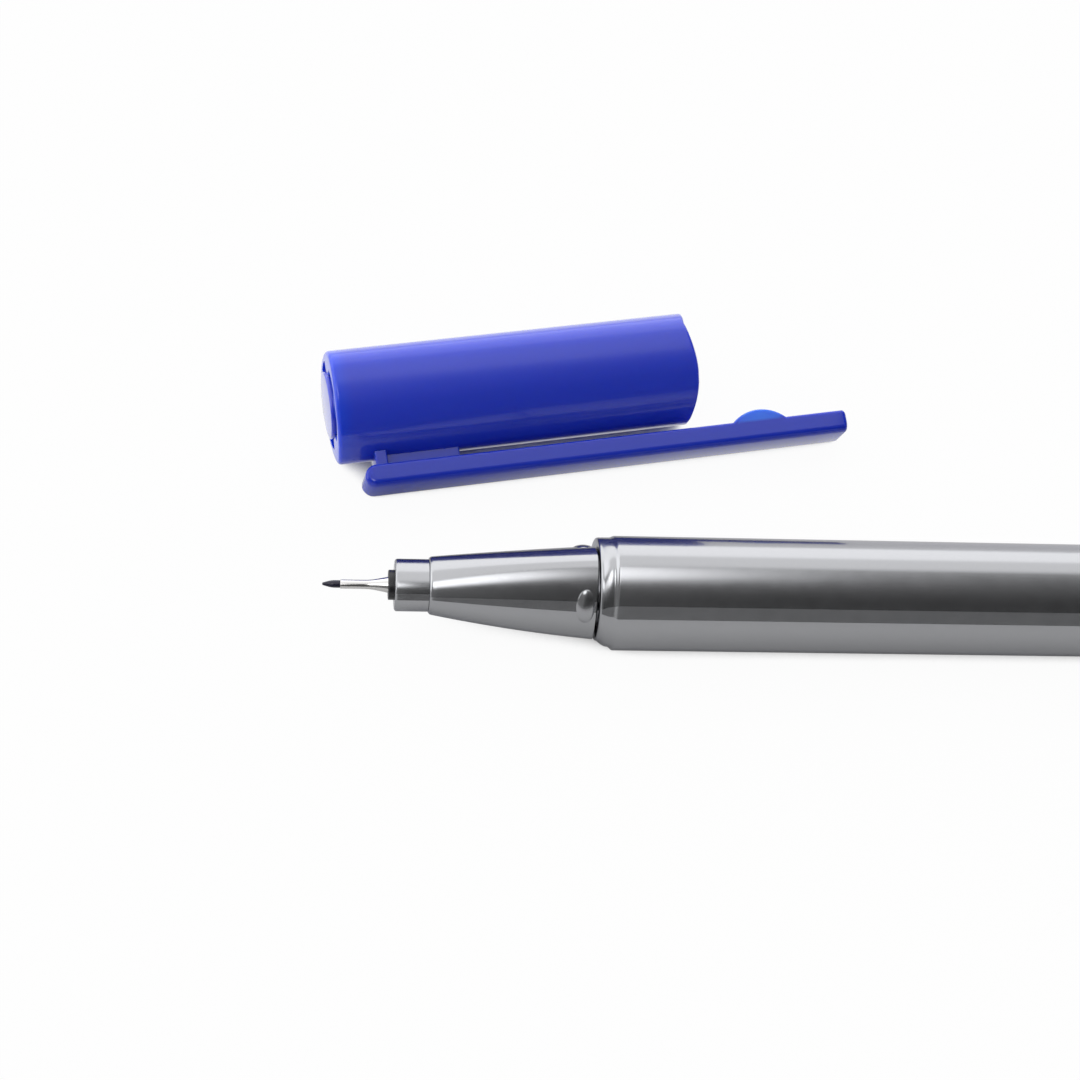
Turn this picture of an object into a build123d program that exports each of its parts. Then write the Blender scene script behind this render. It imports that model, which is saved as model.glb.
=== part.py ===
from build123d import *
from math import cos, radians, sin
import os

# Fineliner pen with its cap lying beside it. Millimetres, +Z up, nib towards -X.
# The pen rests on a flat side of its three-sided barrel. The middle of that flat is the origin.

# Three-sided sections: mean radius, rise of the corners above it, width of the flat on each side
CORNER_ARC = 28.0
CREASE = 3.0
BARREL_MEAN = 4.7
BARREL_RISE = 0.4
BARREL_FLAT = 1.2

# Barrel and the rounder collar at its front
BARREL_LENGTH = 126.0
BORE_R = 3.2
COLLAR_LENGTH = 1.3
COLLAR_MEAN = 4.25
COLLAR_RISE = 0.08
COLLAR_FLAT = 0.45
RIB_WIDTH = 0.9

# Front section: a nose that goes from three-sided to round, a sealing spigot and a stem
NOSE_LENGTH = 13.7
NOSE_MEAN = 3.83
NOSE_RISE = 0.39
NOSE_FLAT = 1.0
NOSE_STEPS = 5
WAIST_PLACE = 7.2
WAIST_MEAN = 3.17
WAIST_RISE = 0.25
WAIST_FLAT = 0.7
NOSE_TIP_R = 2.35
ROUND_FLAT = 0.25
SPIGOT_R = 2.15
SPIGOT_LENGTH = 2.75
SPIGOT_CHAMFER = 0.2
STEM_LENGTH = 9.0
FEED_R = 0.8
SNAP_PLACE = 0.95
SNAP_WIDTH = 2.2
SNAP_ROUND_R = 1.9

# Nib: a black holder, a flared steel ferrule and the fibre that carries the ink
RING_R = 1.23
RING_LENGTH = 0.5
HOLDER_R = 1.0
HOLDER_LENGTH = 8.0
FLARE_R = 0.66
FLARE_LENGTH = 1.46
TUBE_R = 0.375
TUBE_LENGTH = 2.43
FERRULE_R = 0.55
FERRULE_DEPTH = 4.0
FIBRE_R = 0.25
POINT_R = 0.31
POINT_LENGTH = 1.46
POINT_TAPER = 0.45
POINT_END_R = 0.1
WICK_DEPTH = 6.0

# Ink store and the plug that closes the barrel
CORE_R = 2.7
FILM = 0.2
PLUG_HEAD = 2.0
PLUG_ROUND = 0.8
PLUG_STEM = 8.0
PLUG_WALL = 0.9

# Cap: a three-sided shell with an arched rim, and a round sealing tube inside
CAP_LENGTH = 31.7
CAP_MEAN = 4.85
CAP_RISE = 0.4
CAP_FLAT = 1.1
CAP_WALL = 0.8
CAP_END = 1.2
CAP_EDGE = 0.35
RIM_ARCH = 0.68
VENTS = 5
VENT_WIDTH = 2.4
VENT_R = 3.8
SEAL_END_R = 2.9
SEAL_END = 1.4
SEAL_TUBE_R = 2.95
SEAL_BORE_R = 2.4
SEAL_LAND = 2.8
SEAL_LEAD = 0.3
SEAL_PROUD = 0.3
SEAL_EDGE = 0.15

# Clip on one corner of the cap, joined to it by a post and a rib
CLIP_START = 1.9
CLIP_LENGTH = 42.9
CLIP_GAP = 0.9
CLIP_THICK = 1.92
CLIP_WIDTH = 4.0
CLIP_EDGE = 0.4
CLIP_END_ROUND = 0.8
CLIP_ROOT_LAND = 0.02
CLIP_BEND = 10.4
POST_PLACE = 3.0
POST_LENGTH = 1.05
POST_WIDTH = 3.0
RIB_JOIN_WIDTH = 1.4
ROOT_COVER = 0.05
NUB_PLACE = 36.9
NUB_LENGTH = 4.8
NUB_HEIGHT = 0.95

# Where the cap lies: its closed end from the shoulder, and its yaw
CAP_BEHIND = 21.8
CAP_BESIDE = 17.98
CAP_YAW = 9.7

# Clearances
PRESS_FIT = 0.01
SLIDE_FIT = 0.02
SNAP_FIT = 0.03
END_PLAY = 0.2

# Places that follow from the sizes
SHOULDER_X = -BARREL_LENGTH / 2
REAR_X = BARREL_LENGTH / 2
NOSE_X = SHOULDER_X - NOSE_LENGTH
SPIGOT_X = NOSE_X - SPIGOT_LENGTH
RING_X = SPIGOT_X - RING_LENGTH
FLARE_X = RING_X - FLARE_LENGTH
TUBE_X = FLARE_X - TUBE_LENGTH
POINT_X = TUBE_X - POINT_LENGTH
INK_FRONT_X = SHOULDER_X + STEM_LENGTH + END_PLAY
INK_REAR_X = REAR_X - PLUG_STEM - END_PLAY
WICK_X = INK_FRONT_X + WICK_DEPTH
AXIS_Z = BARREL_MEAN - BARREL_RISE
FILM_R = CORE_R + SLIDE_FIT + FILM
CLIP_INNER = CAP_MEAN + CAP_RISE + CLIP_GAP
CLIP_OUTER = CLIP_INNER + CLIP_THICK
PEN_CORNERS = 90
CAP_CORNERS = 180
THIRD = 120
SIDE = THIRD / 2
ROUND_STEPS = (0, 45, 90)


def direction(angle):
    """Unit vector in the plane of a section, by its angle in degrees."""
    return Vector(cos(radians(angle)), sin(radians(angle)))


def across(x):
    """Plane square to the axis at x, with its own axes along Y and Z."""
    return Plane((x, 0, 0), x_dir=(0, 1, 0), z_dir=(1, 0, 0))


def triangle_arcs(mean, rise, flat):
    """Corner radius, distance of a corner's centre from the axis, and side radius."""
    reach = mean + rise
    bend = radians(SIDE - CORNER_ARC)
    crease = radians(CREASE)
    slope = sin(radians(SIDE))
    depth = mean - rise - reach * cos(radians(SIDE))
    width = flat / 2 - reach * slope
    corner_depth = cos(bend) - cos(radians(SIDE))
    corner_width = sin(bend) - slope
    side_depth = cos(crease) - cos(bend)
    side_width = sin(crease) - sin(bend)
    scale = corner_depth * side_width - side_depth * corner_width
    corner_r = (depth * side_width - side_depth * width) / scale
    side_r = (corner_depth * width - depth * corner_width) / scale
    return corner_r, reach - corner_r, side_r


def triangle(mean, rise, flat, x, corners=PEN_CORNERS):
    """Section of arcs and three flats with fine creases, and a corner at the given angle."""
    corner_r, centre, side_r = triangle_arcs(mean, rise, flat)
    end = SIDE - CREASE
    midway = (end + CORNER_ARC) / 2

    def spot(corner, angle):
        hub = direction(corner) * centre
        if abs(angle) <= CORNER_ARC:
            return hub + direction(corner + angle) * corner_r
        joint = CORNER_ARC if angle > 0 else -CORNER_ARC
        return hub + direction(corner + joint) * (corner_r - side_r) + direction(corner + angle) * side_r

    outline = []
    for corner in (corners, corners + THIRD, corners + 2 * THIRD):
        stops = [spot(corner, a) for a in (-end, -midway, -CORNER_ARC, 0, CORNER_ARC, midway, end)]
        outline.append(ThreePointArc(*stops[0:3]))
        outline.append(ThreePointArc(*stops[2:5]))
        outline.append(ThreePointArc(*stops[4:7]))
        outline.append(Line(stops[6], spot(corner + THIRD, -end)))
    return across(x) * make_face(outline)


def rounded_end(mean, rise, flat, x, radius, corners=PEN_CORNERS):
    """Rounded end of a three-sided bar with its face at x. A negative radius turns it round."""
    stops = []
    for angle in ROUND_STEPS:
        inward = abs(radius) * (1 - cos(radians(angle)))
        place = x - radius * (1 - sin(radians(angle)))
        stops.append(triangle(mean - inward, rise, flat, place, corners))
    return loft(stops, ruled=True)


def rod(radius, start, end):
    """Round bar along the axis."""
    return extrude(across(start) * Circle(radius), end - start)


def turned(*profile):
    """Piece turned about the axis from points of place and radius."""
    return revolve(make_face(Polyline(*profile, close=True)), Axis.X)


def around(piece, start, count=3):
    """Copies of a piece made at angle zero, spread evenly round the axis from a starting angle."""
    return [Rot(X=start + k * 360 / count) * piece for k in range(count)]


def block(x, y, z):
    """Box between two values along each axis."""
    size = Box(x[1] - x[0], y[1] - y[0], z[1] - z[0], align=(Align.MIN, Align.MIN, Align.MIN))
    return Pos(x[0], y[0], z[0]) * size


def barrel():
    """Three-sided tube with a rounder collar, and ribs that hold the ink store."""
    full_x = SHOULDER_X + COLLAR_LENGTH
    front = triangle(COLLAR_MEAN, COLLAR_RISE, COLLAR_FLAT, SHOULDER_X)
    full = triangle(BARREL_MEAN, BARREL_RISE, BARREL_FLAT, full_x)
    tube = loft([front, full], ruled=True) + extrude(full, REAR_X - full_x)
    tube -= rod(BORE_R, SHOULDER_X, REAR_X)
    wall_middle = (BORE_R + BARREL_MEAN) / 2
    half = RIB_WIDTH / 2
    rib = block((INK_FRONT_X, INK_REAR_X), (FILM_R + SLIDE_FIT, wall_middle), (-half, half))
    return tube + around(rib, PEN_CORNERS)


def nose_sizes(place):
    """Mean radius, rise and flat of the nose at a distance in front of the shoulder."""
    base = (NOSE_MEAN, NOSE_RISE, NOSE_FLAT)
    waist = (WAIST_MEAN, WAIST_RISE, WAIST_FLAT)
    tip = (NOSE_TIP_R, 0, ROUND_FLAT)
    to_waist = place - WAIST_PLACE
    to_tip = place - NOSE_LENGTH
    base_share = to_waist * to_tip / (WAIST_PLACE * NOSE_LENGTH)
    waist_share = place * to_tip / (WAIST_PLACE * (WAIST_PLACE - NOSE_LENGTH))
    tip_share = place * to_waist / (NOSE_LENGTH * (NOSE_LENGTH - WAIST_PLACE))
    return [base_share * b + waist_share * w + tip_share * t for b, w, t in zip(base, waist, tip)]


def nose():
    """Nose that curves from three-sided at the shoulder to round at its tip."""
    stops = []
    for step in range(NOSE_STEPS + 1):
        place = NOSE_LENGTH * step / NOSE_STEPS
        stops.append(triangle(*nose_sizes(place), SHOULDER_X - place))
    return loft(stops, ruled=True)


def front_section():
    """Nose, sealing spigot, snap ridges for the cap and the stem inside the barrel."""
    spigot = turned((NOSE_X, 0), (NOSE_X, SPIGOT_R), (SPIGOT_X + SPIGOT_CHAMFER, SPIGOT_R),
                    (SPIGOT_X, SPIGOT_R - SPIGOT_CHAMFER), (SPIGOT_X, 0))
    body = nose() + spigot
    body += rod(BORE_R - PRESS_FIT, SHOULDER_X, SHOULDER_X + STEM_LENGTH)
    ridge_top = CAP_MEAN - CAP_RISE - CAP_WALL - SNAP_FIT
    ridge = Pos(SHOULDER_X - SNAP_PLACE, ridge_top - SNAP_ROUND_R) * Cylinder(SNAP_ROUND_R, SNAP_WIDTH)
    ridge &= block((NOSE_X, SHOULDER_X), (BORE_R - SNAP_ROUND_R, ridge_top), (-SNAP_WIDTH, SNAP_WIDTH))
    body += around(ridge, PEN_CORNERS + SIDE)
    body -= rod(HOLDER_R + PRESS_FIT, SPIGOT_X, SPIGOT_X + HOLDER_LENGTH)
    return body - rod(FEED_R, SPIGOT_X, SHOULDER_X + STEM_LENGTH)


def nib_holder():
    """Black bush with the ring that shows in front of the spigot."""
    hole = FERRULE_R + PRESS_FIT
    end = SPIGOT_X + HOLDER_LENGTH
    seat = RING_X + FERRULE_DEPTH
    return turned((RING_X, hole), (RING_X, RING_R), (SPIGOT_X, RING_R), (SPIGOT_X, HOLDER_R),
                  (end, HOLDER_R), (end, FIBRE_R + SLIDE_FIT), (seat, FIBRE_R + SLIDE_FIT), (seat, hole))


def nib_ferrule():
    """Steel tube that flares out against the holder's ring."""
    hole = FIBRE_R + SLIDE_FIT
    end = RING_X + FERRULE_DEPTH
    return turned((TUBE_X, hole), (TUBE_X, TUBE_R), (FLARE_X, TUBE_R), (RING_X, FLARE_R),
                  (RING_X, FERRULE_R), (end, FERRULE_R), (end, hole))


def nib_fibre():
    """Writing point and the wick behind it, which reaches into the ink store."""
    neck = TUBE_X - SLIDE_FIT
    return turned((POINT_X, 0), (POINT_X, POINT_END_R), (POINT_X + POINT_TAPER, POINT_R),
                  (neck, POINT_R), (neck, FIBRE_R), (WICK_X, FIBRE_R), (WICK_X, 0))


def ink_core():
    """Fibre core that stores the ink, with a hole for the wick."""
    return rod(CORE_R, INK_FRONT_X, INK_REAR_X) - rod(FIBRE_R + SLIDE_FIT, INK_FRONT_X, WICK_X)


def ink_film():
    """Film wrapped round the core."""
    return rod(FILM_R, INK_FRONT_X, INK_REAR_X) - rod(CORE_R + SLIDE_FIT, INK_FRONT_X, INK_REAR_X)


def end_plug():
    """Plug in the ink's colour: a rounded head and a hollow stem."""
    head = extrude(triangle(BARREL_MEAN, BARREL_RISE, BARREL_FLAT, REAR_X), PLUG_HEAD - PLUG_ROUND)
    head += rounded_end(BARREL_MEAN, BARREL_RISE, BARREL_FLAT, REAR_X + PLUG_HEAD, PLUG_ROUND)
    stem_r = BORE_R - PRESS_FIT
    stem = rod(stem_r, REAR_X - PLUG_STEM, REAR_X)
    return head + stem - rod(stem_r - PLUG_WALL, REAR_X - PLUG_STEM, REAR_X)


def arch_cut():
    """What is cut off the rim over one side of the cap, so that the side ends in an arch."""
    half_side = (CAP_MEAN + CAP_RISE) * sin(radians(SIDE))
    arch_r = (half_side ** 2 + RIM_ARCH ** 2) / (2 * RIM_ARCH)
    far = 2 * CAP_MEAN
    start = CAP_LENGTH - 2 * RIM_ARCH
    sector = Polyline((0, 0), direction(-SIDE) * far * 2, direction(SIDE) * far * 2, close=True)
    slab = extrude(across(start) * make_face(sector), 3 * RIM_ARCH)
    disc = Pos(CAP_LENGTH - arch_r, far) * Rot(X=90) * Cylinder(arch_r, 2 * far)
    return slab - disc


def cap_shell():
    """Three-sided shell, open at the arched rim, with vents in its end and the root of the clip."""
    shell = extrude(triangle(CAP_MEAN, CAP_RISE, CAP_FLAT, CAP_EDGE, CAP_CORNERS), CAP_LENGTH - CAP_EDGE)
    shell += rounded_end(CAP_MEAN, CAP_RISE, CAP_FLAT, 0, -CAP_EDGE, CAP_CORNERS)
    inside = triangle(CAP_MEAN - CAP_WALL, CAP_RISE, CAP_FLAT, CAP_END, CAP_CORNERS)
    shell -= extrude(inside, CAP_LENGTH)
    shell -= rod(SEAL_END_R + PRESS_FIT, 0, CAP_END)
    half = VENT_WIDTH / 2
    vent = rod(VENT_R, 0, CAP_END) & block((0, CAP_END), (0, VENT_R), (-half, half))
    for notch in around(vent, CAP_CORNERS + 180, VENTS):
        shell -= notch
    for cut in around(arch_cut(), CAP_CORNERS + SIDE):
        shell -= cut
    return shell + clip_root()


def cap_inner_seal():
    """Closed sealing tube that grips the spigot when the cap is on. Its end stands a little proud."""
    mouth = CAP_LENGTH - NOSE_LENGTH - END_PLAY
    land = mouth - SEAL_LAND
    grip = SPIGOT_R + SLIDE_FIT
    floor = SEAL_END - SEAL_PROUD
    return turned((-SEAL_PROUD, 0), (-SEAL_PROUD, SEAL_END_R - SEAL_EDGE),
                  (SEAL_EDGE - SEAL_PROUD, SEAL_END_R), (CAP_END, SEAL_END_R), (CAP_END, SEAL_TUBE_R),
                  (mouth, SEAL_TUBE_R), (mouth, grip + SEAL_LEAD), (mouth - SEAL_LEAD, grip),
                  (land, grip), (land, SEAL_BORE_R), (floor, SEAL_BORE_R), (floor, 0))


def clip_bar():
    """Whole bar of the clip: round at its root, with a nub under its free end."""
    half = CLIP_WIDTH / 2
    end = CLIP_START + CLIP_LENGTH
    bar = block((CLIP_START, end), (-CLIP_OUTER, -CLIP_INNER), (-half, half))
    upright = bar.edges().filter_by(Axis.Z)
    bar = fillet(upright.group_by(Axis.X)[0], (CLIP_THICK - CLIP_ROOT_LAND) / 2)
    upright = bar.edges().filter_by(Axis.Z)
    bar = fillet(upright.group_by(Axis.X)[-1], CLIP_END_ROUND)
    faces = bar.faces().filter_by(Axis.Z)
    bar = chamfer(faces[0].edges() + faces[-1].edges(), CLIP_EDGE)
    nub_r = (NUB_LENGTH ** 2 / 4 + NUB_HEIGHT ** 2) / (2 * NUB_HEIGHT)
    nub = Pos(NUB_PLACE, NUB_HEIGHT - CLIP_INNER - nub_r) * Cylinder(nub_r, CLIP_WIDTH)
    nub &= block((CLIP_BEND, end), (-CLIP_INNER - CLIP_EDGE, -CLIP_INNER + NUB_HEIGHT), (-half, half))
    return bar + nub


def clip_root():
    """Fixed end of the clip, with its post and rib let into the corner of the cap."""
    far = CLIP_OUTER + CLIP_WIDTH
    kept = clip_bar() & block((0, CLIP_BEND), (-far, 0), (-far, far))
    root = CAP_MEAN + CAP_RISE - CAP_WALL + ROOT_COVER
    reach = (-CLIP_INNER - CLIP_EDGE, -root)
    post_end = POST_PLACE + POST_LENGTH
    post = block((POST_PLACE, post_end), reach, (-POST_WIDTH / 2, POST_WIDTH / 2))
    rib = block((POST_PLACE, CLIP_BEND), reach, (-RIB_JOIN_WIDTH / 2, RIB_JOIN_WIDTH / 2))
    return kept + post + rib


def clip_arm():
    """Free length of the clip, which springs outward from its root."""
    far = CLIP_OUTER + CLIP_WIDTH
    return clip_bar() & block((CLIP_BEND, CLIP_START + CLIP_LENGTH), (-far, 0), (-far, far))


def resting_roll():
    """Roll at which the cap lies on one side and on the outer edge of its clip."""
    corner_r, centre, side_r = triangle_arcs(CAP_MEAN, CAP_RISE, CAP_FLAT)

    def side_depth(roll):
        angle = radians(SIDE / 2 + roll)
        bend = angle - radians(CORNER_ARC)
        return centre * cos(angle) + (corner_r - side_r) * cos(bend) + side_r

    def clip_depth(roll):
        return (CLIP_OUTER - CLIP_EDGE) * sin(radians(roll)) + CLIP_WIDTH / 2 * cos(radians(roll))

    low, high = 0.0, SIDE / 2
    while high - low > 1e-6:
        roll = (low + high) / 2
        if clip_depth(roll) < side_depth(roll):
            low = roll
        else:
            high = roll
    return low, side_depth(low)


pen = {
    "barrel": barrel,
    "front_section": front_section,
    "nib_holder": nib_holder,
    "nib_ferrule": nib_ferrule,
    "nib_fibre": nib_fibre,
    "ink_core": ink_core,
    "ink_film": ink_film,
    "end_plug": end_plug,
}
cap = {"cap_shell": cap_shell, "cap_inner_seal": cap_inner_seal, "clip_arm": clip_arm}

cap_roll, cap_height = resting_roll()
pen_place = Pos(0, 0, AXIS_Z)
cap_place = Pos(SHOULDER_X - CAP_BEHIND, CAP_BESIDE, cap_height) * Rot(Z=CAP_YAW) * Rot(X=cap_roll)

os.makedirs("parts", exist_ok=True)
for name, make in pen.items():
    export_step(pen_place * make(), f"parts/{name}.step")
for name, make in cap.items():
    export_step(cap_place * make(), f"parts/{name}.step")
print(f"cap rolled {cap_roll:.3f} degrees, axis {cap_height:.3f} above the table")
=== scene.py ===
from math import cos, degrees, pi, radians, sin

import bmesh
import bpy
from mathutils import Matrix, Vector


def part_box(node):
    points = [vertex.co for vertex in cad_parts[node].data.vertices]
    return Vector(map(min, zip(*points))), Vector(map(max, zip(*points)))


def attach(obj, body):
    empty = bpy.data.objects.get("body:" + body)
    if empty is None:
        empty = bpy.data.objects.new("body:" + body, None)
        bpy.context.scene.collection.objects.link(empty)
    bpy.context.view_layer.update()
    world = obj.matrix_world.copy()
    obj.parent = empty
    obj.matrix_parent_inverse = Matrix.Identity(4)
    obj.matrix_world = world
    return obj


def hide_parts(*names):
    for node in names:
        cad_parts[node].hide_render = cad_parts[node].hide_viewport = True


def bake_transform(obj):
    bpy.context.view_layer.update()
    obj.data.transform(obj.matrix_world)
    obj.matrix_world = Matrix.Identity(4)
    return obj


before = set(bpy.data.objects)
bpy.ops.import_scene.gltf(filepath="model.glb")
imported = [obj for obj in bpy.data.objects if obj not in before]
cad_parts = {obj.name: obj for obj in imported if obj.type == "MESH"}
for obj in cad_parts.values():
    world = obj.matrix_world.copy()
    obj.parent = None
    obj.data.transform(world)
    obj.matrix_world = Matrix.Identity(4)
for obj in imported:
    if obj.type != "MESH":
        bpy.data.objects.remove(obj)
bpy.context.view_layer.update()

MM = 0.001

# Camera, as the photo was taken: image side and focal length in pixels, and where it looks
IMAGE_SIDE = 1080
FOCAL_PIXELS = 2299.3
SENSOR_MM = 36
TARGET_BEHIND_SHOULDER = -3.714 * MM
TARGET_BESIDE = 7.558 * MM
CAMERA_DISTANCE = 196.479 * MM
CAMERA_AZIMUTH = radians(-11.139)
CAMERA_ELEVATION = radians(55.592)
CAMERA_ROLL = radians(10.281)
NEAR_LIMIT = 1 * MM

# Light round the object by angle from the front horizon over the top to the back: degrees and strength
DOME = ((0, 0.06), (24, 0.07), (40, 0.14), (52, 0.2), (62, 0.3), (69, 0.6), (75, 1.2), (79, 1.4),
        (116, 1.4), (122, 1.95), (180, 2.0))
DOME_TOP = max(strength for _, strength in DOME)
# Soft light and dark panels: where they hang, the cosines between which their edge fades, and strength
PANELS = (((-0.29, -0.52, 0.8), (0.96, 0.988), 3.6), ((-0.95, 0.0, 0.3), (0.84, 0.94), 2.2),
          ((-0.5, -0.8, 0.33), (0.86, 0.95), 0.26), ((0.93, 0.0, 0.37), (0.72, 0.86), 0.15))
# Floor: how far it is lifted to white, by its openness to the camera and by its place to reflections
FLOOR_COLOUR = (0.64, 0.64, 0.64, 1)
FLOOR_ROUGH = 0.9
FLOOR_LIFT = 0.96
FLOOR_SIDE = 6.0
SHADE_REACH = 8 * MM
SHADE_RANGE = (0.06, 0.38)
BACK_RANGE = (10 * MM, 18 * MM)

# Three-sided section, with angles in degrees: the corners' arc and the crease beside each flat.
# Lengths from here on are in millimetres.
CORNER_ARC = 28
CREASE = 3
SIDE = 60
THIRD = 120
PEN_CORNERS = 90
CAP_CORNERS = 180
ARC_STEPS = 24
ROUND_FACETS = 5
LATHE_STEPS = 72
SHARP = radians(32)

# Pen: mean radius, rise of the corners and flat of each section
BARREL = (4.7, 0.4, 1.2)
COLLAR = (4.25, 0.08, 0.45)
NOSE_BASE = (3.83, 0.39, 1.0)
NOSE_WAIST = (3.17, 0.25, 0.7)
NOSE_TIP = (2.35, 0.0, 0.25)
COLLAR_LENGTH = 1.3
COLLAR_EDGE = 0.2
COLLAR_STEP = 0.22
COLLAR_STEP_SHARE = 0.62
COLLAR_STATIONS = 14
BORE_R = 3.2
BARREL_EDGE = 0.15
NOSE_LENGTH = 13.7
WAIST_PLACE = 7.2
NOSE_EDGE = 0.28
NOSE_GROOVE = 0.2
NOSE_GROOVE_DEPTH = 0.3
NOSE_STATIONS = 40
STEM_R = 3.15
STEM_LENGTH = 9
SPIGOT_R = 2.15
SPIGOT_LENGTH = 2.75
SPIGOT_EDGE = 0.22
# Snap bump: its place before the shoulder, its height over the flat, half its length, width and height
SNAP_PLACE = 1.0
SNAP_HEIGHT = 0.19
SNAP_HALF = (1.0, 1.6, 0.52)
SNAP_STEPS = 20

# Nib: black ring, flared tube and fibre point, each with a stem that goes in by the depth; the ring's black
# is painted shade for the gap between the nose and the nib
RING_R = 1.23
RING_LENGTH = 0.5
RING_EDGE = 0.1
RING_STEM_R = 1.0
FLARE_R = 0.66
FLARE_LENGTH = 1.46
FLARE_EDGE = 0.03
FLARE_BEND = 0.5
TUBE_R = 0.375
TUBE_LENGTH = 2.43
TUBE_EDGE = 0.06
TUBE_STEM_R = 0.55
FIBRE_R = 0.25
POINT_R = 0.31
POINT_LENGTH = 1.46
POINT_EDGE = 0.04
POINT_BEND = 0.3
POINT_END_R = 0.1
POINT_ROUND = 0.08
POINT_TAPER = 0.75
NIB_DEPTH = 4
AXIS_R = 0.01

# Plug at the rear
PLUG_HEAD = 2
PLUG_ROUND = 0.8
PLUG_STEM_R = 3.15
PLUG_STEM = 8

# Cap: its place and turn, and its forms from the closed end
CAP_PLACE = (-84.8, 17.98, 4.526)
CAP_YAW = radians(9.7)
CAP_ROLL = radians(20.205)
CAP = (4.85, 0.4, 1.1)
CAP_LENGTH = 31.7
CAP_ARCH = 0.68
ARCH_POWER = 1.3
CAP_WALL = 0.8
CAP_END = 1.2
CAP_EDGE = 0.35
CAP_LIP = 0.28
VENTS = 5
VENT_WIDTH = 2.4
VENT_R = 3.8
VENT_STEPS = 8
SEAL_HOLE_R = 2.91
SEAL_END_R = 2.9
SEAL_PROUD = 0.3
SEAL_EDGE = 0.18
SEAL_END = 1.4
SEAL_R = 2.95
SEAL_BORE_R = 2.4
SEAL_MOUTH = 17.8
SEAL_STEP_EDGE = 0.02
SEAL_MOUTH_EDGE = 0.15
SEAL_FLOOR_EDGE = 0.2

# Clip: distances from the cap's closed end and its axis
CLIP_START = 1.9
CLIP_LENGTH = 42.9
CLIP_INNER = 6.15
CLIP_OUTER = 8.07
CLIP_WIDTH = 4.0
CLIP_INNER_EDGE = 0.25
CLIP_OUTER_EDGE = 0.62
CLIP_END_EDGE = 0.4
CLIP_NEAR_ROUND = 0.92
CLIP_FAR_ROUND = 0.38
CLIP_BEND = 10.4
POST_PLACE = 3.0
POST_LENGTH = 1.05
POST_WIDTH = 3.0
RIB_WIDTH = 1.4
ROOT_DEPTH = 4.9
ROOT_EDGE = 0.15
RIB_OVERLAP = 0.2
EDGE_LIMIT = 0.49
NUB_PLACE = 36.9
NUB_LENGTH = 4.8
NUB_HEIGHT = 0.95
NUB_STEPS = 16
# Two points at the nub's foot on each side of the bar: height over the inner side, and limits as shares
NUB_FEET = (-0.05, 0.2)
NUB_FOOT_LIMITS = ((0.1, 0.5), (0.2, 0.6))

# Colours of the materials
SILVER = (0.36, 0.365, 0.38, 1)
SILVER_EDGE = (0.5, 0.5, 0.55, 1)
BLUE = (0.018, 0.044, 0.56, 1)
# Painted shade: a darker copy of the blue for the clip, standing in for the light that the cap keeps off it
CLIP_SHADED_BLUE = (0.006, 0.026, 0.42, 1)
# Painted shade: black for the nib ring, where the gap between the nose and the nib lies in shade
NIB_GAP_SHADE = (0.006, 0.006, 0.008, 1)
STEEL = (0.62, 0.61, 0.60, 1)
INK = (0.004, 0.003, 0.018, 1)
FILM = (0.75, 0.76, 0.78, 1)

# Lighter blue where light comes through: at the cap's closed end and on the nub
END_GLOW = (0.008, 0.055, 0.66, 1)
END_GLOW_LENGTH = 1.7
NUB_GLOW = (0.006, 0.12, 0.68, 1)
NUB_GLOW_POWER = 0.5
THIN = "thin"

# Grain: detail of the fine and broad noise, scale of the broad one, range of noise used, bump strength
FINE_DETAIL = 3
BROAD_DETAIL = 4
BROAD_SCALE = 0.1
NOISE_RANGE = (0.3, 0.7)
BUMP_STRENGTH = 0.3

# Silver: weight and roughness of the coat, size, colour change and depth of the grain, roughness ranges
SILVER_COAT = (0.7, 0.03)
SILVER_GRAIN = (0.12, 0.05, 0.0003)
SILVER_ROUGH = {"barrel_silver_look": (0.22, 0.25), "nose_silver_look": (0.2, 0.23)}

# Blue plastic: roughness, grain and light inside it, then colour, gloss and coat of each look
PLASTIC_ROUGH = (0.33, 0.37)
PLASTIC_COAT_ROUGH = 0.08
PLASTIC_GRAIN = (0.4, 0.03, 0.0004)
INSIDE_WEIGHT = 0.5
INSIDE_RADIUS = (0.05, 0.35, 1.0)
INSIDE_SCALE = 1.2
# The clip's look uses that darker copy of the blue: painted shade
BLUE_LOOKS = {"blue_plastic_look": (BLUE, 0.5, 0.1), "cap_blue_look": (BLUE, 0.3, 0.75),
              "seal_blue_look": (BLUE, 0.5, 1.0), "clip_shaded_blue_look": (CLIP_SHADED_BLUE, 0.0, 1.0)}

# Other looks: colour, metallic, roughness range, and size, colour change and depth of the grain
# The nib ring's black look is painted shade for the gap between the nose and the nib
PLAIN_LOOKS = {"nib_gap_shade_look": (NIB_GAP_SHADE, 0.0, (0.3, 0.45), 0.08, 0.2, 0.004),
               "steel_look": (STEEL, 1.0, (0.08, 0.16), 0.05, 0.04, 0.0005),
               "nib_fibre_look": (INK, 0.0, (0.2, 0.4), 0.04, 0.3, 0.004),
               "ink_core_look": (INK, 0.0, (0.6, 0.9), 0.1, 0.5, 0.02),
               "clear_film_look": (FILM, 0.0, (0.1, 0.2), 0.5, 0.05, 0.004)}


def new_material(name, colour, metallic, roughness):
    """Principled material and its shader node."""
    material = bpy.data.materials.new(name)
    material.use_nodes = True
    shader = material.node_tree.nodes["Principled BSDF"]
    shader.inputs["Base Color"].default_value = colour
    shader.inputs["Metallic"].default_value = metallic
    shader.inputs["Roughness"].default_value = roughness
    return material, shader


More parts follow.
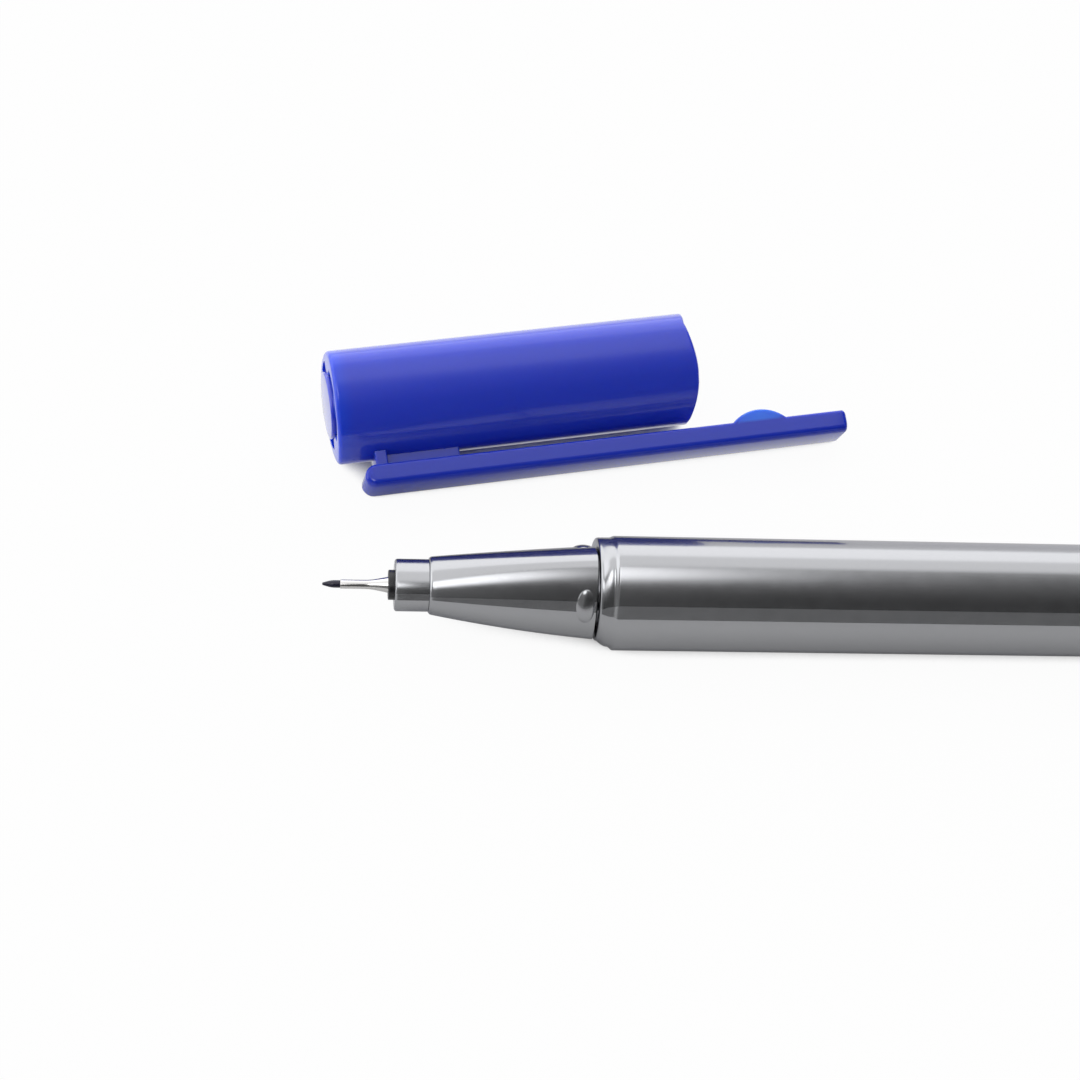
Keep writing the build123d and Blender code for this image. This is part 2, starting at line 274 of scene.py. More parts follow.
def grain(material, shader, rough, size_mm, tint, depth_mm):
    """Fine uneven colour, gloss and surface: roughness range, grain size, colour change, depth."""
    nodes, links = material.node_tree.nodes, material.node_tree.links
    place = nodes.new("ShaderNodeTexCoord")
    fine = nodes.new("ShaderNodeTexNoise")
    fine.inputs["Scale"].default_value = 1 / (size_mm * MM)
    fine.inputs["Detail"].default_value = FINE_DETAIL
    links.new(place.outputs["Object"], fine.inputs["Vector"])
    broad = nodes.new("ShaderNodeTexNoise")
    broad.inputs["Scale"].default_value = BROAD_SCALE / (size_mm * MM)
    broad.inputs["Detail"].default_value = BROAD_DETAIL
    links.new(place.outputs["Object"], broad.inputs["Vector"])
    colour = shader.inputs["Base Color"].default_value[:3]
    mix = nodes.new("ShaderNodeMix")
    mix.data_type = "RGBA"
    mix.inputs["A"].default_value = [part * (1 - tint) for part in colour] + [1]
    mix.inputs["B"].default_value = [part * (1 + tint) for part in colour] + [1]
    links.new(fine.outputs["Fac"], mix.inputs["Factor"])
    links.new(mix.outputs["Result"], shader.inputs["Base Color"])
    gloss = nodes.new("ShaderNodeMapRange")
    gloss.clamp = False
    gloss.inputs["From Min"].default_value, gloss.inputs["From Max"].default_value = NOISE_RANGE
    gloss.inputs["To Min"].default_value, gloss.inputs["To Max"].default_value = rough
    links.new(broad.outputs["Fac"], gloss.inputs["Value"])
    links.new(gloss.outputs["Result"], shader.inputs["Roughness"])
    bump = nodes.new("ShaderNodeBump")
    bump.inputs["Strength"].default_value = BUMP_STRENGTH
    bump.inputs["Distance"].default_value = depth_mm * MM
    links.new(fine.outputs["Fac"], bump.inputs["Height"])
    links.new(bump.outputs["Normal"], shader.inputs["Normal"])


def silver_plastic(name):
    """Silver lacquer under a clear coat."""
    rough = SILVER_ROUGH[name]
    material, shader = new_material(name, SILVER, 1.0, rough[0])
    shader.inputs["Specular Tint"].default_value = SILVER_EDGE
    shader.inputs["Coat Weight"].default_value, shader.inputs["Coat Roughness"].default_value = SILVER_COAT
    grain(material, shader, rough, *SILVER_GRAIN)
    return material


def blue_plastic(name):
    """Blue plastic that lets a little light in."""
    colour, gloss, coat = BLUE_LOOKS[name]
    material, shader = new_material(name, colour, 0.0, sum(PLASTIC_ROUGH) / 2)
    shader.inputs["Specular IOR Level"].default_value = gloss
    shader.inputs["Coat Weight"].default_value = coat
    shader.inputs["Coat Roughness"].default_value = PLASTIC_COAT_ROUGH
    shader.inputs["Subsurface Weight"].default_value = INSIDE_WEIGHT
    shader.inputs["Subsurface Radius"].default_value = INSIDE_RADIUS
    shader.inputs["Subsurface Scale"].default_value = INSIDE_SCALE * MM
    grain(material, shader, PLASTIC_ROUGH, *PLASTIC_GRAIN)
    return material


def lighten(material, colour, factor):
    """Mixes a lighter colour into a material where light comes through thin plastic."""
    nodes, links = material.node_tree.nodes, material.node_tree.links
    base = nodes["Principled BSDF"].inputs["Base Color"]
    mix = nodes.new("ShaderNodeMix")
    mix.data_type = "RGBA"
    mix.inputs["B"].default_value = colour
    links.new(base.links[0].from_socket, mix.inputs["A"])
    links.new(factor, mix.inputs["Factor"])
    links.new(mix.outputs["Result"], base)


def end_glow(material):
    """Lightens the cap's closed end, by the distance along its axis."""
    nodes, links = material.node_tree.nodes, material.node_tree.links
    heading = CAP_FRAME.to_3x3() @ Vector((-1, 0, 0))
    origin = CAP_FRAME.translation.dot(heading)
    place = nodes.new("ShaderNodeTexCoord")
    along = nodes.new("ShaderNodeVectorMath")
    along.operation = "DOT_PRODUCT"
    along.inputs[1].default_value = heading
    links.new(place.outputs["Object"], along.inputs[0])
    share = nodes.new("ShaderNodeMapRange")
    share.interpolation_type = "SMOOTHSTEP"
    share.inputs["From Min"].default_value = origin - END_GLOW_LENGTH * MM
    share.inputs["From Max"].default_value = origin
    links.new(along.outputs["Value"], share.inputs["Value"])
    lighten(material, END_GLOW, share.outputs["Result"])


def nub_glow(material):
    """Lightens the nub, by the share that its mesh carries at each point."""
    share = material.node_tree.nodes.new("ShaderNodeAttribute")
    share.attribute_name = THIN
    lighten(material, NUB_GLOW, share.outputs["Fac"])


def plain_look(name):
    colour, metallic, rough, *fineness = PLAIN_LOOKS[name]
    material, shader = new_material(name, colour, metallic, rough[0])
    grain(material, shader, rough, *fineness)
    return material


def dress(node, material):
    """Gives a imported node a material."""
    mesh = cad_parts[node].data
    mesh.materials.clear()
    mesh.materials.append(material)


def direction(degrees_round):
    return Vector((cos(radians(degrees_round)), sin(radians(degrees_round))))


def triangle_arcs(mean, rise, flat):
    """Corner radius, its centre's distance from the axis, and side radius of the section."""
    reach = mean + rise
    bend = radians(SIDE - CORNER_ARC)
    crease = radians(CREASE)
    slope = sin(radians(SIDE))
    depth = mean - rise - reach * cos(radians(SIDE))
    width = flat / 2 - reach * slope
    corner_depth = cos(bend) - cos(radians(SIDE))
    corner_width = sin(bend) - slope
    side_depth = cos(crease) - cos(bend)
    side_width = sin(crease) - sin(bend)
    scale = corner_depth * side_width - side_depth * corner_width
    corner_r = (depth * side_width - side_depth * width) / scale
    side_r = (corner_depth * width - depth * corner_width) / scale
    return corner_r, reach - corner_r, side_r


def section(sizes, corners, inset=0.0):
    """Points (y, z) round the three-sided section, moved in by an inset."""
    mean, rise, flat = sizes
    corner_r, centre, side_r = triangle_arcs(mean - inset, rise, flat)
    end = SIDE - CREASE
    points = []
    for corner in range(corners, corners + 3 * THIRD, THIRD):
        hub = direction(corner) * centre
        for step in range(ARC_STEPS + 1):
            angle = -end + 2 * end * step / ARC_STEPS
            if abs(angle) <= CORNER_ARC:
                points.append(hub + direction(corner + angle) * corner_r)
            else:
                turn = CORNER_ARC if angle > 0 else -CORNER_ARC
                middle = hub + direction(corner + turn) * (corner_r - side_r)
                points.append(middle + direction(corner + angle) * side_r)
    return points


def crease_columns():
    """Numbers of the section's points that lie on a crease."""
    return {third * (ARC_STEPS + 1) + end for third in range(3) for end in (0, ARC_STEPS)}


def circle(radius, count=LATHE_STEPS):
    return [direction(360 * step / count) * radius for step in range(count)]


def circle_like(radius):
    """Circle with as many points as the section, at the same angles."""
    return [point.normalized() * radius for point in section(BARREL, PEN_CORNERS)]


def at(place, ring):
    """Loop of points in space from a section and its place along the axis."""
    return [Vector((place, point.x, point.y)) for point in ring]


def quarter(radius):
    """Steps of a rounded edge: distance along the axis from the end and inset from the side."""
    turns = [radians(90 * step / ROUND_FACETS) for step in range(ROUND_FACETS, -1, -1)]
    return [(radius * (1 - sin(turn)), radius * (1 - cos(turn))) for turn in turns]


def soften(corners):
    """Outline through corners (x, radius, setback), each rounded over its setback."""
    path = [Vector(corners[0][:2])]
    for before, here, after in zip(corners, corners[1:], corners[2:]):
        point = Vector(here[:2])
        start = point + (Vector(before[:2]) - point).normalized() * here[2]
        end = point + (Vector(after[:2]) - point).normalized() * here[2]
        facets = ROUND_FACETS if here[2] else 0
        for step in range(facets + 1):
            share = step / max(facets, 1)
            path.append(start.lerp(point, share).lerp(point.lerp(end, share), share))
    path.append(Vector(corners[-1][:2]))
    return path


def add_loops(bm, loops, place, creases=(), ends="filled"):
    """Adds quads through loops of equal count to a mesh. Its ends are filled, joined or open."""
    rows = [[bm.verts.new(place @ (point * MM)) for point in loop] for loop in loops]
    count = len(rows[0])
    pairs = list(zip(rows, rows[1:])) + ([(rows[-1], rows[0])] if ends == "joined" else [])
    for first, second in pairs:
        for step in range(count):
            following = (step + 1) % count
            bm.faces.new((first[step], first[following], second[following], second[step]))
        for column in creases:
            bm.edges.get((first[column], second[column])).tag = True
    if ends == "filled":
        bm.faces.new(rows[0])
        bm.faces.new(rows[-1])
    return rows


def finish_mesh(bm, name, material):
    """Turns a mesh into an object with smooth faces and sharp edges."""
    bmesh.ops.recalc_face_normals(bm, faces=bm.faces)
    for face in bm.faces:
        face.smooth = True
    for edge in bm.edges:
        flat = any(len(face.verts) > 4 for face in edge.link_faces)
        edge.smooth = not (edge.tag or flat or edge.calc_face_angle(0) > SHARP)
    mesh = bpy.data.meshes.new(name)
    bm.to_mesh(mesh)
    bm.free()
    mesh.materials.append(material)
    piece = bpy.data.objects.new(name, mesh)
    bpy.context.scene.collection.objects.link(piece)
    return piece


def stand_for(piece, node, body):
    """Fixes a piece to a body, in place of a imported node."""
    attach(piece, body)
    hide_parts(node)


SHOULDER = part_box("barrel")[0].x / MM
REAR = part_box("barrel")[1].x / MM
PEN = Matrix.Translation((0, 0, (BARREL[0] - BARREL[1]) * MM))
CAP_FRAME = (Matrix.Translation(Vector(CAP_PLACE) * MM) @ Matrix.Rotation(CAP_YAW, 4, "Z")
             @ Matrix.Rotation(CAP_ROLL, 4, "X"))


def smooth_step(share):
    share = min(max(share, 0), 1)
    return share * share * (3 - 2 * share)


def collar_sizes(along):
    """Section of the collar behind its front edge: its corners rise at once, its sides in a step."""
    step_start = COLLAR_LENGTH - COLLAR_STEP
    step = smooth_step((along - step_start) / (2 * COLLAR_STEP))
    rise = min((along - COLLAR_EDGE) / (step_start - COLLAR_EDGE), 1)
    corner = COLLAR_STEP_SHARE * sin(pi / 2 * rise) + (1 - COLLAR_STEP_SHARE) * step
    reach = COLLAR[0] + COLLAR[1] + (BARREL[0] + BARREL[1] - COLLAR[0] - COLLAR[1]) * corner
    side = COLLAR[0] - COLLAR[1] + (BARREL[0] - BARREL[1] - COLLAR[0] + COLLAR[1]) * step
    return (reach + side) / 2, (reach - side) / 2, COLLAR[2] + (BARREL[2] - COLLAR[2]) * corner


def barrel(material):
    """Three-sided tube with a rounded collar and a small step behind it."""
    loops = [at(SHOULDER, circle_like(BORE_R))]
    for along, inset in quarter(COLLAR_EDGE):
        loops.append(at(SHOULDER + along, section(COLLAR, PEN_CORNERS, inset)))
    for step in range(1, COLLAR_STATIONS + 1):
        along = COLLAR_EDGE + (COLLAR_LENGTH + COLLAR_STEP - COLLAR_EDGE) * step / COLLAR_STATIONS
        loops.append(at(SHOULDER + along, section(collar_sizes(along), PEN_CORNERS)))
    for along, inset in reversed(quarter(BARREL_EDGE)):
        loops.append(at(REAR - along, section(BARREL, PEN_CORNERS, inset)))
    loops.append(at(REAR, circle_like(BORE_R)))
    bm = bmesh.new()
    add_loops(bm, loops, PEN, crease_columns(), ends="joined")
    piece = finish_mesh(bm, "barrel_tube", material)
    stand_for(piece, "barrel", "pen")


def nose_sizes(place):
    """Section of the nose at a distance in front of the shoulder."""
    base = (place - WAIST_PLACE) * (place - NOSE_LENGTH) / (WAIST_PLACE * NOSE_LENGTH)
    waist = place * (place - NOSE_LENGTH) / (WAIST_PLACE * (WAIST_PLACE - NOSE_LENGTH))
    tip = place * (place - WAIST_PLACE) / (NOSE_LENGTH * (NOSE_LENGTH - WAIST_PLACE))
    return tuple(a * base + b * waist + c * tip for a, b, c in zip(NOSE_BASE, NOSE_WAIST, NOSE_TIP))


def nose_loop(place, inset=0.0):
    return at(SHOULDER - place, section(nose_sizes(place), PEN_CORNERS, inset))


def snap_bump(middle):
    """Loops of an egg-shaped bump that is sunk in the nose at mid-side."""
    length, width, height = SNAP_HALF
    mean, rise, _ = nose_sizes(SNAP_PLACE)
    depth = mean - rise + SNAP_HEIGHT - height
    out, across = direction(middle), direction(middle + 90)
    loops = []
    for step in range(1, SNAP_STEPS):
        turn = pi * step / SNAP_STEPS
        ring = [out * (depth + height * sin(turn) * spot.x) + across * width * sin(turn) * spot.y
                for spot in circle(1)]
        loops.append(at(SHOULDER - SNAP_PLACE + length * cos(turn), ring))
    return loops


def nose(material):
    """Tapered nose with snap bumps, a rounded front edge, the sealing spigot and a stem in the barrel."""
    stem = circle_like(STEM_R)
    loops = [at(SHOULDER + STEM_LENGTH, stem), at(SHOULDER - NOSE_GROOVE / 4, stem)]
    loops.append(nose_loop(NOSE_GROOVE / 2, NOSE_GROOVE_DEPTH))
    front = NOSE_LENGTH - NOSE_EDGE
    loops += [nose_loop(NOSE_GROOVE + (front - NOSE_GROOVE) * step / NOSE_STATIONS)
              for step in range(NOSE_STATIONS)]
    for along, inset in reversed(quarter(NOSE_EDGE)):
        loops.append(nose_loop(NOSE_LENGTH - along, inset))
    tip = SHOULDER - NOSE_LENGTH
    loops.append(at(tip, circle_like(SPIGOT_R)))
    for along, inset in reversed(quarter(SPIGOT_EDGE)):
        loops.append(at(tip - SPIGOT_LENGTH + along, circle_like(SPIGOT_R - inset)))
    bm = bmesh.new()
    add_loops(bm, loops, PEN, crease_columns())
    for third in range(3):
        add_loops(bm, snap_bump(PEN_CORNERS + SIDE + THIRD * third), PEN)
    piece = finish_mesh(bm, "nose", material)
    stand_for(piece, "front_section", "pen")


def turned(name, corners, place, material):
    """Round piece from its outline along the axis, both ends filled."""
    bm = bmesh.new()
    add_loops(bm, [at(x, circle(radius)) for x, radius in soften(corners)], place)
    return finish_mesh(bm, name, material)


def nib(black, steel, ink):
    """Black ring, whose black is painted shade for the gap before the nose, flared steel tube and fibre
    point.
    """
    ring_rear = SHOULDER - NOSE_LENGTH - SPIGOT_LENGTH
    ring = ring_rear - RING_LENGTH
    flare = ring - FLARE_LENGTH
    tube = flare - TUBE_LENGTH
    point = tube - POINT_LENGTH
    ring_outline = ((ring_rear + NIB_DEPTH, RING_STEM_R, 0), (ring_rear, RING_STEM_R, 0),
                    (ring_rear, RING_R, 0), (ring, RING_R, RING_EDGE), (ring, FLARE_R, 0))
    piece = turned("nib_ring", ring_outline, PEN, black)
    stand_for(piece, "nib_holder", "pen")
    tube_outline = ((ring + NIB_DEPTH, TUBE_STEM_R, 0), (ring, TUBE_STEM_R, 0),
                    (ring, FLARE_R, FLARE_EDGE), (flare, TUBE_R, FLARE_BEND),
                    (tube, TUBE_R, TUBE_EDGE), (tube, FIBRE_R, 0))
    piece = turned("nib_tube", tube_outline, PEN, steel)
    stand_for(piece, "nib_ferrule", "pen")
    point_outline = ((tube + NIB_DEPTH, FIBRE_R, 0), (tube, FIBRE_R, 0), (tube, POINT_R, POINT_EDGE),
                     (point + POINT_TAPER, POINT_R, POINT_BEND), (point, POINT_END_R, POINT_ROUND),
                     (point, AXIS_R, 0))
    piece = turned("nib_point", point_outline, PEN, ink)
    stand_for(piece, "nib_fibre", "pen")


def plug(material):
    """Rounded three-sided plug with a round stem in the barrel."""
    stem = circle_like(PLUG_STEM_R)
    loops = [at(REAR - PLUG_STEM, stem), at(REAR, stem)]
    loops.append(at(REAR, section(BARREL, PEN_CORNERS, BARREL_EDGE)))
    for along, inset in reversed(quarter(PLUG_ROUND)):
        loops.append(at(REAR + PLUG_HEAD - along, section(BARREL, PEN_CORNERS, inset + BARREL_EDGE)))
    bm = bmesh.new()
    add_loops(bm, loops, PEN, crease_columns())
    piece = finish_mesh(bm, "rear_plug", material)
    stand_for(piece, "end_plug", "pen")


def vent_outline():
    """Outline (y, z) of the hole in the cap's end with a notch at each vent."""
    points = []
    inner = SEAL_HOLE_R
    for vent in range(VENTS):
        middle = CAP_CORNERS + 180 + 360 * vent / VENTS
        out, across = direction(middle), direction(middle + 90)
        half = VENT_WIDTH / 2
        shallow = (inner ** 2 - half ** 2) ** 0.5
        points.append(out * shallow - across * half)
        for step in range(VENT_STEPS + 1):
            beside = -half + VENT_WIDTH * step / VENT_STEPS
            points.append(out * (VENT_R ** 2 - beside ** 2) ** 0.5 + across * beside)
        points.append(out * shallow + across * half)
        first = points[-1].normalized()
        gap = direction(middle + 180 / VENTS)
        points.append(((first + gap) / 2).normalized() * inner)
        points.append(gap * inner)
        mirrored = gap * 2 * first.dot(gap) - first
        points.append(((mirrored + gap) / 2).normalized() * inner)
    return points


def rim(point):
    """Place of the cap's rim at a point round the section: longer at mid-side than at the corners."""
    turn = -degrees(Vector((1, 0)).angle_signed(point))
    beside = abs((turn - CAP_CORNERS) % THIRD - SIDE)
    return CAP_LENGTH - CAP_ARCH * (1 - (1 - (beside / SIDE) ** 2) ** ARCH_POWER)


def rim_loop(along, inset):
    ring = section(CAP, CAP_CORNERS, inset)
    return [Vector((rim(point) - along, point.x, point.y)) for point in ring]


def cap_body(material):
    """Three-sided cap with a rounded closed end, five vents and an arched lip."""
    loops = [at(along, section(CAP, CAP_CORNERS, inset)) for along, inset in quarter(CAP_EDGE)]
    loops += [rim_loop(along, inset) for along, inset in reversed(quarter(CAP_LIP))]
    loops += [rim_loop(along, CAP_WALL - inset) for along, inset in quarter(CAP_LIP)]
    loops.append(at(CAP_END, section(CAP, CAP_CORNERS, CAP_WALL)))
    bm = bmesh.new()
    rows = add_loops(bm, loops, CAP_FRAME, crease_columns(), ends="open")
    hole = vent_outline()
    mouths = []
    for place, ring in ((0, rows[0]), (CAP_END, rows[-1])):
        edge = [bm.verts.new(CAP_FRAME @ (point * MM)) for point in at(place, hole)]
        mouths.append(edge)
        bounds = [bm.edges.new((edge[step], edge[step - 1])) for step in range(len(edge))]
        bounds += [bm.edges.get((ring[step], ring[step - 1])) for step in range(len(ring))]
        for bound in bounds:
            bound.tag = True
        bmesh.ops.triangle_fill(bm, use_beauty=True, edges=bounds)
    first, second = mouths
    for step in range(len(hole)):
        bm.faces.new((first[step - 1], first[step], second[step], second[step - 1]))
    piece = finish_mesh(bm, "cap_body", material)
    stand_for(piece, "cap_shell", "cap")


def cap_seal(material):
    """Round insert whose closed end stands a little proud and whose tube seals on the spigot."""
    outline = ((-SEAL_PROUD, AXIS_R, 0), (-SEAL_PROUD, SEAL_END_R, SEAL_EDGE), (SEAL_END, SEAL_END_R, 0),
               (SEAL_END, SEAL_R, SEAL_STEP_EDGE), (SEAL_MOUTH, SEAL_R, SEAL_MOUTH_EDGE),
               (SEAL_MOUTH, SEAL_BORE_R, SEAL_MOUTH_EDGE), (SEAL_END, SEAL_BORE_R, SEAL_FLOOR_EDGE),
               (SEAL_END, AXIS_R, 0))
    piece = turned("seal_insert", outline, CAP_FRAME, material)
    stand_for(piece, "cap_inner_seal", "cap")


def bar_section(place, low, high, half):
    """Loop of the clip's bar between two distances from the cap's axis, its outer edges rounder."""
    limit = (high - low) * EDGE_LIMIT
    inner_r, outer_r = min(CLIP_INNER_EDGE, limit), min(CLIP_OUTER_EDGE, limit)
    hubs = ((low + inner_r, -half + inner_r, inner_r, 180), (high - outer_r, -half + outer_r, outer_r, 270),
            (high - outer_r, half - outer_r, outer_r, 0), (low + inner_r, half - inner_r, inner_r, 90))
    start, end = low + inner_r, high - outer_r
    feet = []
    for foot, (least, most) in zip(NUB_FEET, NUB_FOOT_LIMITS):
        share = (CLIP_INNER + foot - start) / (end - start)
        feet.append(start + (end - start) * min(max(share, least), most))
    points = []
    for corner, (out, level, radius, turn) in enumerate(hubs):
        arc = [Vector((out, level)) + direction(turn + 90 * step / ROUND_FACETS) * radius
               for step in range(ROUND_FACETS + 1)]
        if corner == 0:
            arc += [Vector((foot, -half)) for foot in feet]
        if corner == 2:
            arc += [Vector((foot, half)) for foot in reversed(feet)]
        points += [Vector((place, -spot.x, spot.y)) for spot in arc]
    return points


def nub_rise(place):
    """Height of the nub's arc over the inner side of the clip."""
    half = NUB_LENGTH / 2
    radius = (half ** 2 + NUB_HEIGHT ** 2) / (2 * NUB_HEIGHT)
    reach = abs(place - NUB_PLACE)
    return (radius ** 2 - reach ** 2) ** 0.5 - radius + NUB_HEIGHT if reach < half else 0


def clip_bar_loops():
    """Loops along the clip from its round near end over the nub to its free end."""
    half = CLIP_WIDTH / 2
    end = CLIP_START + CLIP_LENGTH
    loops = []
    for along, inset in quarter(CLIP_NEAR_ROUND):
        loops.append(bar_section(CLIP_START + along, CLIP_INNER + inset, CLIP_OUTER - inset,
                                 half - inset * CLIP_END_EDGE))
    nub_start, nub_end = NUB_PLACE - NUB_LENGTH / 2, NUB_PLACE + NUB_LENGTH / 2
    places = [CLIP_START + CLIP_NEAR_ROUND + step for step in range(1, int(nub_start - CLIP_START))]
    places += [nub_start + NUB_LENGTH * step / NUB_STEPS for step in range(NUB_STEPS + 1)]
    places += [(nub_end + end) / 2]
    loops += [bar_section(place, CLIP_INNER - nub_rise(place), CLIP_OUTER, half) for place in places]
    for along, inset in reversed(quarter(CLIP_FAR_ROUND)):
        loops.append(bar_section(end - along, CLIP_INNER + inset, CLIP_OUTER - inset, half - inset))
    return loops


def slab(outline, half, edge):
    """Loops of a slab with rounded edges from its outline at each inset, across its width."""
    across = [(half - along, inset) for along, inset in quarter(edge)]
    across += [(-level, inset) for level, inset in reversed(across)]
    return [[Vector((point.x, -point.y, level)) for point in outline(inset)] for level, inset in across]


def block_outline(start, end, low, high):
    """Outline of a plain block of the root, with an inset for its edges."""
    def outline(inset):
        return [Vector((start + inset, low)), Vector((end - inset, low)),
                Vector((end - inset, high)), Vector((start + inset, high))]
    return outline


def clip(material):
    """Clip bar with rounded ends, the post and rib that join it to the cap, and the nub under it."""
    bm = bmesh.new()
    add_loops(bm, clip_bar_loops(), CAP_FRAME)
    thin = bm.verts.layers.float.new(THIN)
    back = CAP_FRAME.inverted()
    for vert in bm.verts:
        spot = back @ vert.co / MM
        if -spot.y < CLIP_INNER + NUB_FEET[0] / 2:
            vert[thin] = (nub_rise(spot.x) / NUB_HEIGHT) ** NUB_GLOW_POWER
    post_end = POST_PLACE + POST_LENGTH
    middle = (CLIP_INNER + CLIP_OUTER) / 2
    post = block_outline(POST_PLACE, post_end, ROOT_DEPTH, middle)
    add_loops(bm, slab(post, POST_WIDTH / 2, ROOT_EDGE), CAP_FRAME)
    rib = block_outline(post_end - RIB_OVERLAP, CLIP_BEND, ROOT_DEPTH, middle)
    add_loops(bm, slab(rib, RIB_WIDTH / 2, ROOT_EDGE), CAP_FRAME)
    piece = finish_mesh(bm, "clip_bar", material)
    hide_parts("clip_arm")
    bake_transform(piece)


def light_path_fac(nodes, links, rays, strength):
    """Value that is a strength on the named rays and zero on others."""
    path = nodes.new("ShaderNodeLightPath")
    total = path.outputs[rays[0]]
    for ray in rays[1:]:
        either = nodes.new("ShaderNodeMath")
        either.operation = "MAXIMUM"
        links.new(total, either.inputs[0])
        links.new(path.outputs[ray], either.inputs[1])
        total = either.outputs[0]
    lift = nodes.new("ShaderNodeMath")
    lift.operation = "MULTIPLY"
    lift.inputs[1].default_value = strength
    links.new(total, lift.inputs[0])
    return lift.outputs[0]


def floor_share(nodes, links, rays, value, limits):
    """Share by which the floor is white on the named rays, as a value goes from one limit to the other."""
    open_share = nodes.new("ShaderNodeMapRange")
    open_share.interpolation_type = "SMOOTHSTEP"
    open_share.inputs["From Min"].default_value, open_share.inputs["From Max"].default_value = limits
    links.new(value, open_share.inputs["Value"])
    share = nodes.new("ShaderNodeMath")
    share.operation = "MULTIPLY"
    links.new(light_path_fac(nodes, links, rays, FLOOR_LIFT), share.inputs[0])
    links.new(open_share.outputs["Result"], share.inputs[1])
    return share.outputs[0]


def floor():
    """Pale floor, lifted towards white for the camera where it is open, and for reflections at the back."""
    bpy.ops.mesh.primitive_plane_add(size=FLOOR_SIDE)
    plane = bpy.context.object
    plane.name = "floor"
    material, shader = new_material("floor_white", FLOOR_COLOUR, 0.0, FLOOR_ROUGH)
    shader.inputs["Specular IOR Level"].default_value = 0.0
    nodes, links = material.node_tree.nodes, material.node_tree.links
    white = nodes.new("ShaderNodeEmission")
    mix = nodes.new("ShaderNodeMixShader")
    shut = nodes.new("ShaderNodeAmbientOcclusion")
    shut.inputs["Distance"].default_value = SHADE_REACH
    where = nodes.new("ShaderNodeNewGeometry")
    parts = nodes.new("ShaderNodeSeparateXYZ")
    links.new(where.outputs["Position"], parts.inputs[0])
    seen = nodes.new("ShaderNodeMath")
    seen.operation = "ADD"
    lifts = ((("Is Camera Ray",), shut.outputs["AO"], SHADE_RANGE),
             (("Is Glossy Ray", "Is Transmission Ray"), parts.outputs["Y"], BACK_RANGE))
    for number, (rays, value, limits) in enumerate(lifts):
        links.new(floor_share(nodes, links, rays, value, limits), seen.inputs[number])
    links.new(seen.outputs[0], mix.inputs["Fac"])
    links.new(shader.outputs[0], mix.inputs[1])
    links.new(white.outputs[0], mix.inputs[2])
    links.new(mix.outputs[0], nodes["Material Output"].inputs["Surface"])
    plane.data.materials.append(material)


def dome_light(nodes, links, place):
    """Colour of the dome by the angle round the pen's axis."""
    parts = nodes.new("ShaderNodeSeparateXYZ")
    links.new(place, parts.inputs[0])
    back_to_front = nodes.new("ShaderNodeMath")
    back_to_front.operation = "MULTIPLY"
    back_to_front.inputs[1].default_value = -1
    links.new(parts.outputs["Y"], back_to_front.inputs[0])
    angle = nodes.new("ShaderNodeMath")
    angle.operation = "ARCTAN2"
    links.new(parts.outputs["Z"], angle.inputs[0])
    links.new(back_to_front.outputs[0], angle.inputs[1])
    share = nodes.new("ShaderNodeMath")
    share.operation = "DIVIDE"
    share.inputs[1].default_value = pi
    links.new(angle.outputs[0], share.inputs[0])
    ramp = nodes.new("ShaderNodeValToRGB")
    stops = ramp.color_ramp.elements
    while len(stops) < len(DOME):
        stops.new(0.5)
    for stop, (degrees_up, strength) in zip(stops, DOME):
        stop.position = degrees_up / 180
        stop.color = [strength / DOME_TOP] * 3 + [1]
    links.new(share.outputs[0], ramp.inputs["Fac"])
    return ramp.outputs["Color"]


def with_panel(nodes, links, place, light, panel):
    """Colour of the dome with one soft panel mixed in."""
    side, limits, strength = panel
    towards = nodes.new("ShaderNodeVectorMath")
    towards.operation = "DOT_PRODUCT"
    towards.inputs[1].default_value = Vector(side).normalized()
    links.new(place, towards.inputs[0])
    edge = nodes.new("ShaderNodeMapRange")
    edge.interpolation_type = "SMOOTHSTEP"
    edge.inputs["From Min"].default_value, edge.inputs["From Max"].default_value = limits
    links.new(towards.outputs["Value"], edge.inputs["Value"])
    lit = nodes.new("ShaderNodeMix")
    lit.data_type = "RGBA"
    lit.inputs["B"].default_value = [strength / DOME_TOP] * 3 + [1]
    links.new(edge.outputs["Result"], lit.inputs["Factor"])
    links.new(light, lit.inputs["A"])
    return lit.outputs["Result"]


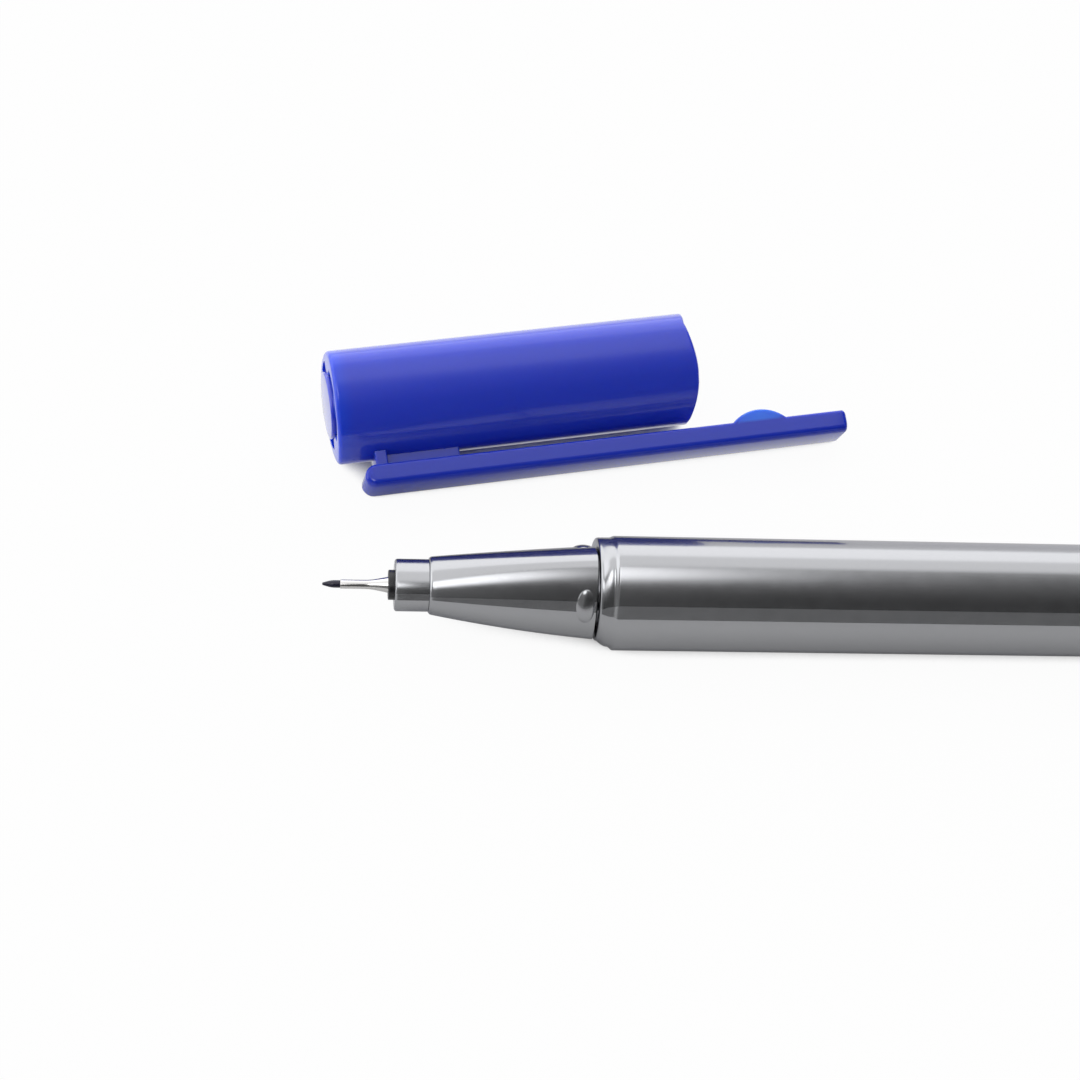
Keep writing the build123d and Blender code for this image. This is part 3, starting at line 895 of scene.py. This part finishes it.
def dome():
    """World light that changes by the angle round the pen's axis, with soft panels in it."""
    world = bpy.data.worlds.new("studio")
    bpy.context.scene.world = world
    world.use_nodes = True
    nodes, links = world.node_tree.nodes, world.node_tree.links
    place = nodes.new("ShaderNodeTexCoord").outputs["Generated"]
    light = dome_light(nodes, links, place)
    for panel in PANELS:
        light = with_panel(nodes, links, place, light, panel)
    background = nodes["Background"]
    links.new(light, background.inputs["Color"])
    background.inputs["Strength"].default_value = DOME_TOP
    white = nodes.new("ShaderNodeBackground")
    white.inputs["Color"].default_value = (1, 1, 1, 1)
    mix = nodes.new("ShaderNodeMixShader")
    links.new(light_path_fac(nodes, links, ("Is Camera Ray",), 1.0), mix.inputs["Fac"])
    links.new(background.outputs[0], mix.inputs[1])
    links.new(white.outputs[0], mix.inputs[2])
    links.new(mix.outputs[0], nodes["World Output"].inputs["Surface"])


def camera():
    target = Vector((SHOULDER * MM + TARGET_BEHIND_SHOULDER, TARGET_BESIDE, 0))
    level = cos(CAMERA_ELEVATION)
    back = Vector((sin(CAMERA_AZIMUTH) * level, -cos(CAMERA_AZIMUTH) * level, sin(CAMERA_ELEVATION)))
    right = (-back).cross(Vector((0, 0, 1))).normalized()
    up = right.cross(-back)
    across = right * cos(CAMERA_ROLL) + up * sin(CAMERA_ROLL)
    upward = up * cos(CAMERA_ROLL) - right * sin(CAMERA_ROLL)
    data = bpy.data.cameras.new("camera")
    data.sensor_width = SENSOR_MM
    data.sensor_height = SENSOR_MM
    data.lens = SENSOR_MM * FOCAL_PIXELS / IMAGE_SIDE
    data.clip_start = NEAR_LIMIT
    view = bpy.data.objects.new("camera", data)
    turn = Matrix((across, upward, back)).transposed()
    view.matrix_world = Matrix.Translation(target + back * CAMERA_DISTANCE) @ turn.to_4x4()
    bpy.context.scene.collection.objects.link(view)
    bpy.context.scene.camera = view


silver = silver_plastic("barrel_silver_look")
glossy_silver = silver_plastic("nose_silver_look")
blue = blue_plastic("blue_plastic_look")
cap_blue = blue_plastic("cap_blue_look")
end_glow(cap_blue)
seal_blue = blue_plastic("seal_blue_look")
# The clip's darker blue is painted shade from the cap
clip_shaded_blue = blue_plastic("clip_shaded_blue_look")
nub_glow(clip_shaded_blue)
# Painted shade: black for the gap round the nib
black = plain_look("nib_gap_shade_look")
steel = plain_look("steel_look")
ink = plain_look("nib_fibre_look")
core = plain_look("ink_core_look")
film = plain_look("clear_film_look")
barrel(silver)
nose(glossy_silver)
nib(black, steel, ink)
plug(blue)
cap_body(cap_blue)
cap_seal(seal_blue)
clip(clip_shaded_blue)
dress("ink_core", core)
dress("ink_film", film)
floor()
dome()
camera()
bpy.context.scene.view_settings.view_transform = "Standard"
